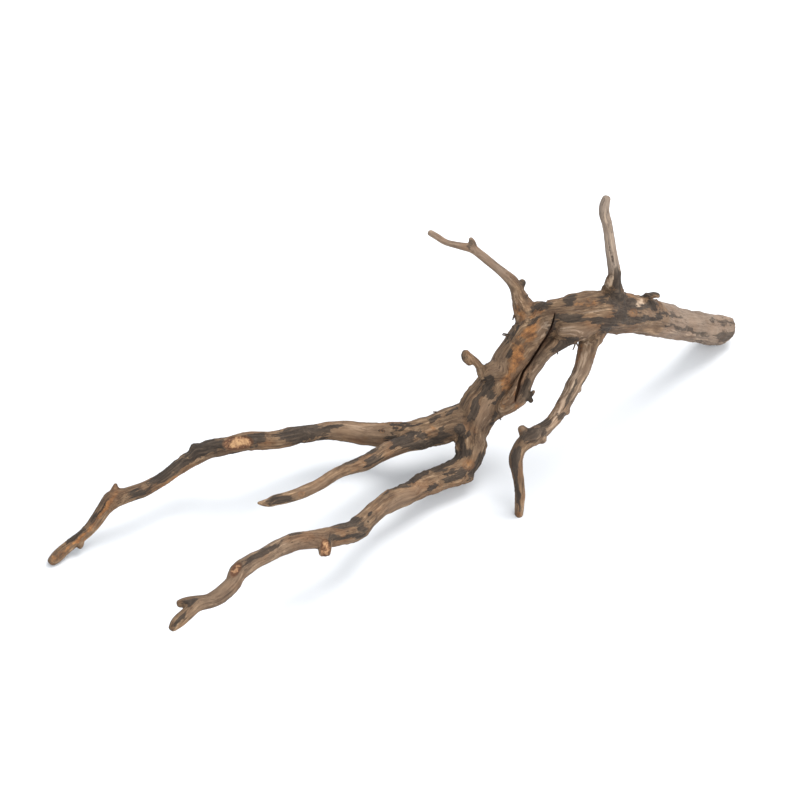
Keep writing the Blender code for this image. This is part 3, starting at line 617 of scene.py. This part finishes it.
# How far each point lies to the right of the split's blade (left is negative) and how deep along it, in mm,
# its share of the way down the split, and 1 beside the split, falling to 0 past its ends.
def splitPlace(points):
    stops = np.asarray(skinShape["split"], float)
    line = onFootprint(stops)
    inward = np.array(skinShape["splitInward"])
    inward = inward / np.linalg.norm(inward)
    t = np.linspace(0, len(line) - 1, 160)
    low = np.clip(t.astype(int), 0, len(line) - 2)
    dense = line[low] + (t - low)[:, None] * (line[low + 1] - line[low])
    right = unitRows(np.cross(np.gradient(dense, axis=0), inward))
    aside, depth = np.full((2, len(points)), 99.0)
    share, beside = np.zeros((2, len(points)))
    near = np.flatnonzero((np.abs(points - dense.mean(0)) < 0.05).all(1))
    apart = points[near][:, None] - dense[None]
    inner = apart @ inward
    flat = np.linalg.norm(apart - inner[..., None] * inward, axis=2)
    closest = flat.argmin(1)
    rows = np.arange(len(near))
    aside[near] = (apart[rows, closest] * right[closest]).sum(1) / mm
    depth[near] = inner[rows, closest] / mm
    share[near] = closest / (len(dense) - 1)
    past = flat[rows, closest] / mm - np.abs(aside[near])
    beside[near] = 1 - easeBetween(past, 0.2, 1.5)
    return aside, depth, share, beside


scratch = placeObject("limbs", limbsMesh)
grow = scratch.modifiers.new("growTogether", "REMESH")
grow.mode = "VOXEL"
grow.voxel_size = skinShape["voxel"] * mm
soften = scratch.modifiers.new("soften", "SMOOTH")
soften.factor = 0.5
soften.iterations = skinShape["soften"]
skin = evaluatedCopy(scratch, "driftwoodSkin")
bpy.data.objects.remove(scratch, do_unlink=True)
print("skin:", len(skin.vertices), "points")


def grainNoise(grain, figure):
    length, width, seed, rounds = grainFigures[figure]
    return softNoise(grain / np.array([length, width, width]), seed, rounds)


# How far the skin is pushed out, in mm: low swellings, long flutes, ridges with sharp grooves between them
# and fine fibres along the grain, bark and the painted shade laid as bark a little proud with a rough top,
# scars sunk inside a raised rim, a rim round each eye, and the split's left side proud of its right side,
# which has a hollow low down and a worn valley high up.
def reliefHeight(places, normals, grain, layers, slim):
    swelling = skinShape["swelling"] * softNoise(places / (skinShape["swellingSize"] * mm), 3, 2)
    flutes = skinShape["flute"] * grainNoise(grain, "flute")
    # 0 along thin lines, where this noise crosses zero, and up to 1 between them
    valley = np.abs(grainNoise(grain, "ridge")) ** 0.6
    deep = easeBetween(grainNoise(grain, "ridgeDepth"), -0.35, 0.35)
    ridges = skinShape["ridge"] * deep * (valley - 0.75)
    fibres = skinShape["fibre"] * grainNoise(grain, "fibre")
    barkAndPaintedShade = easeBetween(layers["barkAndPaintedShade"] + 0.3 * grainNoise(grain, "barkEdge"), 0.40, 0.56)
    rough = softNoise(places / (skinShape["barkGrain"] * mm), 37, 2)
    barkHeight = skinShape["barkRelief"] * barkAndPaintedShade * (0.6 + 1.5 * rough)
    rusty = skinShape["rustRelief"] * layers["rust"] * softNoise(places / (skinShape["rustGrain"] * mm), 41, 2)
    scar = layers["scar"]
    rim = np.exp(-((scar - 0.36) / 0.13) ** 2) * (scar > 0.02)
    scarShape = skinShape["scarRim"] * rim - skinShape["scarSink"] * easeBetween(scar, 0.42, 0.70)
    eyeRim = skinShape["eyeRim"] * layers["eye"]
    aside, depth, share, beside = splitPlace(places)
    beside = beside * easeBetween(share, 0.0, 0.2) * (1 - easeBetween(share, 0.9, 1.0))
    outward = normals @ -np.array(skinShape["splitInward"])
    facing = beside * (1 - easeBetween(depth, 3.0, 6.0)) * easeBetween(outward, -0.1, 0.4)
    lobe = skinShape["lobeProud"] * np.exp(-((aside + 0.5) / 5.5) ** 2) * (1 - easeBetween(aside, -0.6, 0.6))
    sunk = skinShape["lipSunk"] * np.exp(-((aside - 0.5) / 4.0) ** 2) * easeBetween(aside, -0.6, 0.6)
    sunk += skinShape["pocket"] * np.exp(-((aside - 3.2) / 2.6) ** 2 - ((share - 0.80) / 0.13) ** 2)
    sunk += skinShape["valley"] * np.exp(-((aside - 2.8) / 2.6) ** 2 - ((share - 0.18) / 0.17) ** 2)
    wood = (1 - easeBetween(scar, 0.40, 0.6)) * slim * (1 - 0.55 * layers["calm"])
    total = (swelling * slim * (1 - 0.3 * layers["calm"]) + wood * (flutes + ridges + fibres + barkHeight + rusty)
             + scarShape + eyeRim + facing * (lobe - sunk))
    # painted shade for the colour: strongest along the grooves between the ridges and in the low parts of the flutes
    groove = deep * np.exp(-(valley / 0.42) ** 2) + 0.35 * np.clip(-flutes, 0, 1)
    return total, groove


# A skin's points, normals, places along the grain, layers of marks, relief, and painted shade for its grooves.
def studySkin(mesh):
    places = rowsOf(mesh.vertices, "co")
    normals = rowsOf(mesh.vertex_normals, "vector")
    grain, localRadius = limbCoordinates(places)
    layers = markLayers(places, normals, grain)
    slim = np.clip(localRadius / 8.0, 0.35, 1.0)    # thin shoots get a gentler relief
    return places, normals, grain, layers, *reliefHeight(places, normals, grain, layers, slim)


places, normals, grain, layers, height, groove = studySkin(skin)
skin.vertices.foreach_set("co", (places + normals * (height * mm)[:, None]).ravel())
skin.update()
print("relief: from %.2f to %.2f mm" % (height.min(), height.max()))


# A thin blade carried along the split: four corners at each stop, two held out of the wood and two run
# into it, with faces between one stop's corners and the next's.
def profileBlade(stops, inward, clearance, depth):
    middles = onFootprint(stops)
    halfWidth = np.asarray(stops, float)[:, 3] * mm
    inward = np.array(inward) / np.linalg.norm(inward)
    tangent = np.gradient(middles, axis=0)
    across = np.cross(tangent, inward)
    across *= (halfWidth / np.linalg.norm(across, axis=1))[:, None]
    near = middles - inward * clearance * mm
    far = middles + inward * depth * mm
    rings = np.stack([near - across, near + across, far + across * 0.6, far - across * 0.6], axis=1)
    last = len(stops) * 4 - 4
    ends = np.array([[3, 2, 1, 0], [last, last + 1, last + 2, last + 3]])
    return meshFrom("splitBlade", rings.reshape(-1, 3), [tubeWalls(len(stops), 4), ends])


# A plain block used only as a cutter.
def blockMesh(name, middle, turn, sides):
    corners = np.array([[x, y, z] for x in (-0.5, 0.5) for y in (-0.5, 0.5) for z in (-0.5, 0.5)])
    placed = (corners * np.array(sides)) @ np.array(turn.to_matrix()).T + np.array(middle)
    faces = np.array([[0, 1, 3, 2], [4, 6, 7, 5], [0, 4, 5, 1], [2, 3, 7, 6], [0, 2, 6, 4], [1, 5, 7, 3]])
    return meshFrom(name, placed, [faces])


def cutterFrom(mesh):
    turnFacesOutward(mesh)
    cutter = placeObject(mesh.name, mesh)
    cutter.hide_render = True
    return cutter


outward = Vector(skinShape["sawNormal"]).normalized()
sawMiddle = Vector(onFootprint([skinShape["sawPoint"]])[0]) + outward * 0.03
cutters = [
    cutterFrom(profileBlade(skinShape["split"], skinShape["splitInward"],
                            skinShape["splitClearance"], skinShape["splitDepth"])),
    cutterFrom(blockMesh("tablePlane", (0, 0, -0.02), Vector((0, 0, 1)).to_track_quat("Z", "Y"), (0.8, 0.8, 0.04))),
    cutterFrom(blockMesh("sawPlane", sawMiddle, outward.to_track_quat("Z", "Y"), (0.06, 0.06, 0.06))),
]
wood = placeObject("driftwoodBody", skin)
for cutter in cutters:
    cut = wood.modifiers.new(cutter.name, "BOOLEAN")
    cut.operation = "DIFFERENCE"
    cut.solver = "MANIFOLD"
    cut.object = cutter
thinOut = wood.modifiers.new("thinOut", "DECIMATE")
thinOut.ratio = min(1.0, skinShape["triangles"] / (2 * len(skin.polygons)))
cutSkin = evaluatedCopy(wood, "driftwoodBody")
closeSlivers(cutSkin, skinShape["sliverGap"] * mm)
wood.modifiers.clear()
wood.data = cutSkin
for cutter in cutters:
    bpy.data.objects.remove(cutter, do_unlink=True)
print("cuts made:", len(cutSkin.vertices), "points,", len(cutSkin.polygons), "faces")

places, normals, grain, layers, height, groove = studySkin(cutSkin)


# How much painted shade the open split gets at a point: 1 on the blade's middle sheet below the skin, and 0 a few mm
# off it.
def splitShade(points):
    aside, depth, share, beside = splitPlace(points)
    return beside * np.exp(-(aside / 1.8) ** 2) * easeBetween(depth, -2.0, 3.0) * (1 - easeBetween(depth, 12.0, 16.0))


def storeLayer(mesh, name, values, kind="FLOAT", field="value"):
    store = mesh.attributes.new(name, kind, "POINT")
    store.data.foreach_set(field, values.astype(np.float32).ravel())


storeLayer(cutSkin, "grain", grain, "FLOAT_VECTOR", "vector")
# the two layers stored next are painted shade: in the grooves between the ridges, and inside the open split
layers.update(groove=np.clip(groove, 0, 1), split=splitShade(places))
for layerName, values in layers.items():
    storeLayer(cutSkin, layerName, values)
cutSkin.polygons.foreach_set("use_smooth", np.ones(len(cutSkin.polygons), bool))
cutSkin.update()
print("marks stored")


# Finishes

# A colour as an eye sees it, 0 to 255, as the light it sends back.
def toLinear(red, green, blue):
    values = [channel / 255 for channel in (red, green, blue)]
    return [v / 12.92 if v <= 0.04045 else ((v + 0.055) / 1.055) ** 2.4 for v in values] + [1.0]


# Adds and joins shader nodes.
class nodeSheet:
    def __init__(self, material):
        material.use_nodes = True
        self.tree = material.node_tree
        self.shader = self.tree.nodes["Principled BSDF"]

    def add(self, kind, inputs=None, **settings):
        node = self.tree.nodes.new(kind)
        for key, value in settings.items():
            setattr(node, key, value)
        for key, value in (inputs or {}).items():
            self.put(node.inputs[key], value)
        return node

    def put(self, socket, value):
        if isinstance(value, bpy.types.NodeSocket):
            self.tree.links.new(value, socket)
        else:
            socket.default_value = value

    def attribute(self, name, output="Fac"):
        return self.add("ShaderNodeAttribute", attribute_name=name).outputs[output]

    def noise(self, vector, scale, detail=4.0, rough=0.55, distortion=0.0):
        return self.add("ShaderNodeTexNoise", {"Vector": vector, "Scale": scale, "Detail": detail,
                                                "Roughness": rough, "Distortion": distortion}).outputs["Fac"]

    def stretched(self, vector, scale):
        return self.add("ShaderNodeMapping", {"Vector": vector, "Scale": scale}).outputs["Vector"]

    def math(self, operation, first, second=0.0, third=0.0):
        return self.add("ShaderNodeMath", {0: first, 1: second, 2: third}, operation=operation).outputs[0]

    def times(self, first, second):
        return self.math("MULTIPLY", first, second)

    def plus(self, first, second):
        return self.math("ADD", first, second)

    def fit(self, value, factor, offset):
        return self.math("MULTIPLY_ADD", value, factor, offset)

    def ramp(self, value, low, high):
        return self.add("ShaderNodeMapRange", {"Value": value, "From Min": low, "From Max": high},
                        interpolation_type="SMOOTHSTEP").outputs["Result"]

    def tones(self, value, stops):
        node = self.add("ShaderNodeValToRGB", {"Fac": value})
        band = node.color_ramp
        while len(band.elements) < len(stops):
            band.elements.new(0.5)
        for element, (place, colour) in zip(band.elements, stops):
            element.position = place
            element.color = toLinear(*colour)
        return node.outputs["Color"]

    def mix(self, factor, first, second, blend="MIX"):
        node = self.add("ShaderNodeMix", data_type="RGBA", blend_type=blend)
        colours = [socket for socket in node.inputs if socket.type == "RGBA"]
        self.put(node.inputs["Factor"], factor)
        self.put(colours[0], first)
        self.put(colours[1], second)
        return next(socket for socket in node.outputs if socket.type == "RGBA")


# Colours as an eye sees them, 0 to 255. Tones run from dark to light, each with its place from 0 to 1. A
# colour that is laid over the wood has the share that it covers at its strongest.
woodFinish = {
    "tones": ((0.10, (64, 46, 32)), (0.36, (98, 75, 55)), (0.62, (127, 101, 76)), (0.90, (168, 140, 110))),
    "fadedTones": ((0.10, (94, 80, 68)), (0.36, (126, 110, 96)), (0.62, (150, 133, 118)), (0.90, (176, 158, 141))),
    # bark, and the painted shade laid as bark
    "barkAndShadeTones": ((0.22, (39, 31, 25)), (0.52, (55, 46, 38)), (0.80, (78, 64, 52))),
    "rustTones": ((0.26, (84, 54, 32)), (0.48, (142, 93, 52)), (0.72, (178, 121, 66))),
    "scarTones": ((0.36, (88, 58, 40)), (0.46, (152, 112, 80)), (0.58, (192, 151, 108))),
    "warm": ((122, 84, 54), 0.45),
    "worn": ((82, 63, 48), 0.65),
    # pale wood, with painted light in a few places
    "paleAndPaintedLight": ((194, 169, 144), 0.75),
    # painted shade in the grooves between the ridges
    "groove": ((56, 43, 33), 0.62),
    "crack": ((44, 32, 24), 0.7),
    "scarRim": ((96, 66, 44), 0.6),
    "eye": ((122, 84, 54), 0.5),
    # painted shade inside the open split
    "split": ((58, 32, 16), 0.95),
    "rustCover": 0.78,
    "roughness": 0.80,
    "specular": 0.3,
    "bump": 0.7,
    "bumpHeight": 0.0007,   # metres
}


def driftwoodMaterial():
    material = bpy.data.materials.new("weatheredWood")
    sheet = nodeSheet(material)
    surface = sheet.shader.inputs
    at, noise, ramp, mix, tones = sheet.attribute, sheet.noise, sheet.ramp, sheet.mix, sheet.tones
    calc, times, plus, fit = sheet.math, sheet.times, sheet.plus, sheet.fit
    grainAt = at("grain", "Vector")
    objectAt = sheet.add("ShaderNodeTexCoord").outputs["Object"]

    # noise stretched along the grain: changes per mm along it and across it, then its detail
    def grainy(along, across, *detail):
        return noise(sheet.stretched(grainAt, (along, across, across)), 1.0, *detail)

    def lay(colour, name, where):
        top, cover = woodFinish[name]
        return mix(times(where, cover), colour, toLinear(*top))

    # growth tones: broad bands, streaks and fibres along the grain, and blotches, all fainter in calm wood
    broad = ramp(grainy(0.022, 0.15, 3.0), 0.34, 0.66)
    streak = ramp(grainy(0.045, 0.62, 5.0, 0.62, 0.2), 0.32, 0.68)
    fibre = ramp(grainy(0.11, 2.2, 3.0, 0.6), 0.30, 0.70)
    blotch = ramp(noise(objectAt, 170.0, 4.0, 0.6), 0.34, 0.66)
    tone = fit(blotch, 0.16, fit(fibre, 0.22, fit(streak, 0.38, times(broad, 0.24))))
    calm = ramp(at("calm"), 0.2, 0.8)
    even = fit(calm, -0.14, 0.54)
    tone = fit(calc("SUBTRACT", tone, even), fit(calm, -0.5, 1.0), even)
    greyer = calc("MAXIMUM", at("faded"), times(calm, 0.15))
    colour = mix(greyer, tones(tone, woodFinish["tones"]), tones(tone, woodFinish["fadedTones"]))
    lessFaded = fit(at("faded"), -0.6, 1.0)
    lessCalm = fit(calm, -0.7, 1.0)

    # warm and dark worn patches, and pale wood with some painted light
    warmth = ramp(noise(objectAt, 48.0, 3.0), 0.46, 0.66)
    colour = lay(colour, "warm", times(warmth, lessCalm))
    worn = ramp(grainy(0.07, 0.34, 5.0, 0.66, 0.5), 0.55, 0.66)
    colour = lay(colour, "worn", times(worn, lessCalm))
    paleAndPaintedLight = plus(at("paleAndPaintedLight"), fit(streak, 0.4, -0.2))
    colour = lay(colour, "paleAndPaintedLight", ramp(paleAndPaintedLight, 0.30, 0.80))

    # rusty stain, mottled
    rustSpots = noise(objectAt, 300.0, 4.0, 0.65)
    rustDrift = noise(objectAt, 120.0, 2.0)
    rust = plus(plus(at("rust"), fit(rustSpots, 1.6, -0.8)), fit(rustDrift, 1.6, -0.85))
    rust = times(ramp(rust, 0.15, 0.95), ramp(at("rust"), 0.02, 0.35))
    rustTone = tones(fit(blotch, 0.35, times(rustSpots, 0.65)), woodFinish["rustTones"])
    colour = mix(times(rust, woodFinish["rustCover"]), colour, rustTone)

    # painted shade in the grooves between the ridges, and thin drying cracks, both darker
    colour = lay(colour, "groove", times(at("groove"), lessCalm))
    crackLine = ramp(calc("ABSOLUTE", calc("SUBTRACT", grainy(0.05, 0.9, 2.0, 0.5, 0.3), 0.5)), 0.022, 0.0)
    crack = times(crackLine, ramp(grainy(0.03, 0.14, 2.0), 0.44, 0.56))
    colour = lay(colour, "crack", crack)

    # bark that is left, and painted shade laid as bark, with ragged edges along the grain
    barkEdge = fit(grainy(0.12, 0.62, 6.0, 0.68, 0.5), 1.9, -0.95)
    barkFine = noise(objectAt, 420.0, 4.0, 0.65)
    barkAndPaintedShade = plus(at("barkAndPaintedShade"), times(barkEdge, lessFaded))
    barkAndPaintedShade = ramp(fit(barkFine, 0.5, calc("SUBTRACT", barkAndPaintedShade, 0.25)), 0.36, 0.60)
    barkAndShadeTone = tones(fit(barkFine, 0.45, times(streak, 0.5)), woodFinish["barkAndShadeTones"])
    colour = mix(times(barkAndPaintedShade, fit(at("faded"), -0.3, 0.93)), colour, barkAndShadeTone)

    # scars of lost shoots, eyes, and painted shade inside the open split
    scar = at("scar")
    scarSpots = plus(noise(objectAt, 300.0, 5.0, 0.7), fit(scar, 0.5, -0.46))
    colour = lay(colour, "scarRim", ramp(calc("ABSOLUTE", calc("SUBTRACT", scar, 0.47)), 0.10, 0.02))
    colour = mix(ramp(scar, 0.47, 0.58), colour, tones(scarSpots, woodFinish["scarTones"]))
    colour = lay(colour, "eye", at("eye"))
    colour = lay(colour, "split", at("split"))

    relief = fit(streak, 0.35, times(fibre, 0.35))
    relief = fit(crack, -0.7, fit(barkFine, fit(barkAndPaintedShade, 0.7, 0.25), relief))
    bump = sheet.add("ShaderNodeBump", {"Height": relief, "Strength": woodFinish["bump"],
                                        "Distance": woodFinish["bumpHeight"]})
    sheet.put(surface["Base Color"], colour)
    sheet.put(surface["Roughness"], fit(fibre, 0.16, woodFinish["roughness"] - 0.08))
    sheet.put(surface["Specular IOR Level"], woodFinish["specular"])
    sheet.put(surface["Normal"], bump.outputs["Normal"])
    return material


wood.data.materials.clear()
wood.data.materials.append(driftwoodMaterial())
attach(wood, "root")
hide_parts("driftwood")
print("wood finished")


# Hair roots: the pixel that each grows from, and the pixels that it runs right and down
hairRoots = {
    "runs": ((515.5, 317, -3.2, -0.6), (512.4, 316.4, -2.4, 4.6), (509, 335.5, -7.5, 0.4), (508.5, 334.6, -5.5, -2.6),
             (557, 350, 2.2, 4.6), (555.5, 350.5, -2.0, 3.4), (575.6, 343, -0.8, 7.5), (577, 343, 1.2, 4.6),
             (526, 297.5, 2.4, -3.6), (437, 411, -4.5, -1.4), (455, 441, 2.6, 2.4), (500, 418, 1.2, 3.0)),
    "thickness": 0.75,      # mm from its middle to its skin at the root
    "rooted": 0.5,          # mm of it inside the wood
    "bends": (-0.22, 0.18),     # sideways, as a share of its length, for every other hair
    "pixel": 0.72,          # mm
    "rings": 7,
    "sides": 6,
    "tones": ((0.35, (44, 33, 26)), (0.65, (92, 72, 56))),
    "toneScale": 900.0,
    "roughness": 0.8,
    "bump": 0.4,
    "bumpHeight": 0.0002,   # metres
}


# A hair: a tube whose ring's middle is root + t * reach + a sideways bend of t^2, and whose radius falls
# from the root's to 0.6 of it at the tip, closed by a fan at each end.
def hairSurface(root, reach, bend, thickness):
    rings, sides = hairRoots["rings"], hairRoots["sides"]
    t = np.linspace(0, 1, rings)[:, None]
    middles = root + t * reach + t * t * bend
    tangent = unitRows(np.gradient(middles, axis=0))
    across = unitRows(np.cross(tangent, np.array([0.3, 0.5, 0.81])))
    skin = ringsRound(middles, across, np.cross(tangent, across), thickness * (1 - 0.4 * t), sides)
    return np.concatenate([skin.reshape(-1, 3), middles[:1], middles[-1:]]), rings, sides


# Each hair starts on the skin point that is pictured nearest to its pixel and faces the camera.
def growHairs(places, normals):
    px, py = photoPixels(places)
    seen = seenShare(places, normals) > 0.3
    rightward = np.array([1.0, 0.0, 0.0])
    tubes = []
    for number, (x, y, right, below) in enumerate(hairRoots["runs"]):
        away = np.hypot(px - x, py - y) + 1000.0 * ~seen
        root = places[away.argmin()] - normals[away.argmin()] * hairRoots["rooted"] * mm
        reach = (rightward * right - viewUp * below) * hairRoots["pixel"] * mm
        bend = (rightward * below + viewUp * right) * hairRoots["pixel"] * mm * hairRoots["bends"][number % 2]
        tubes.append(hairSurface(root, reach, bend, hairRoots["thickness"] * mm))
    return meshOfTubes("rootHairs", tubes)


hairMesh = growHairs(places, normals)
turnFacesOutward(hairMesh)
hairMesh.polygons.foreach_set("use_smooth", np.ones(len(hairMesh.polygons), bool))
hairs = placeObject("rootHairs", hairMesh)
hairFinish = bpy.data.materials.new("dryRootHair")
hairSheet = nodeSheet(hairFinish)
hairPlace = hairSheet.add("ShaderNodeTexCoord").outputs["Object"]
hairTone = hairSheet.noise(hairPlace, hairRoots["toneScale"], 3.0)
hairBump = hairSheet.add("ShaderNodeBump", {"Height": hairTone, "Strength": hairRoots["bump"],
                                            "Distance": hairRoots["bumpHeight"]})
hairSheet.put(hairSheet.shader.inputs["Base Color"], hairSheet.tones(hairTone, hairRoots["tones"]))
hairSheet.put(hairSheet.shader.inputs["Roughness"], hairRoots["roughness"])
hairSheet.put(hairSheet.shader.inputs["Normal"], hairBump.outputs["Normal"])
hairs.data.materials.append(hairFinish)
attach(hairs, "root")
print("hairs:", len(hairRoots["runs"]))


# Table, light and camera

studio = {
    "tableSide": 24.0,      # metres
    "tableColour": (0.685, 0.69, 0.70, 1.0),
    "tableRoughness": 0.9,
    "tableSpecular": 0.1,
    "skyColour": (0.91, 0.955, 1.0, 1.0),
    "sky": 1.08,
    # round lamps, aimed at the middle of the table: place and size in metres, and watts
    "lamps": {"overhead": ((0.52, 0.48, 1.5), 1.05, 24.5), "front": ((0.95, -1.3, 0.9), 1.6, 24.5)},
}

halfTable = studio["tableSide"] / 2
tableCorners = np.array([[-halfTable, -halfTable, 0], [halfTable, -halfTable, 0],
                         [halfTable, halfTable, 0], [-halfTable, halfTable, 0]])
table = placeObject("table", meshFrom("table", tableCorners, [np.array([[0, 1, 2, 3]])]))
tableFinish = bpy.data.materials.new("paleTable")
tableSurface = nodeSheet(tableFinish).shader.inputs
tableSurface["Base Color"].default_value = studio["tableColour"]
tableSurface["Roughness"].default_value = studio["tableRoughness"]
tableSurface["Specular IOR Level"].default_value = studio["tableSpecular"]
table.data.materials.append(tableFinish)

world = bpy.data.worlds.new("studio")
world.use_nodes = True
sky = world.node_tree.nodes["Background"].inputs
sky["Color"].default_value = studio["skyColour"]
sky["Strength"].default_value = studio["sky"]
bpy.context.scene.world = world

for name, (place, size, power) in studio["lamps"].items():
    lamp = bpy.data.lights.new(name, "AREA")
    lamp.shape = "DISK"
    lamp.size = size
    lamp.energy = power
    holder = placeObject(name, lamp)
    holder.location = place
    holder.rotation_euler = (-Vector(place)).to_track_quat("-Z", "Y").to_euler()

lensData = bpy.data.cameras.new("photoCamera")
lensData.lens = photoView["lens"]
lensData.sensor_width = photoView["sensor"]
lensData.clip_end = 20
camera = placeObject("photoCamera", lensData)
camera.location = photoView["place"]
camera.rotation_euler = (math.radians(90 - photoView["down"]), 0, 0)
bpy.context.scene.camera = camera
bpy.context.scene.view_settings.view_transform = "Standard"
print("studio ready")
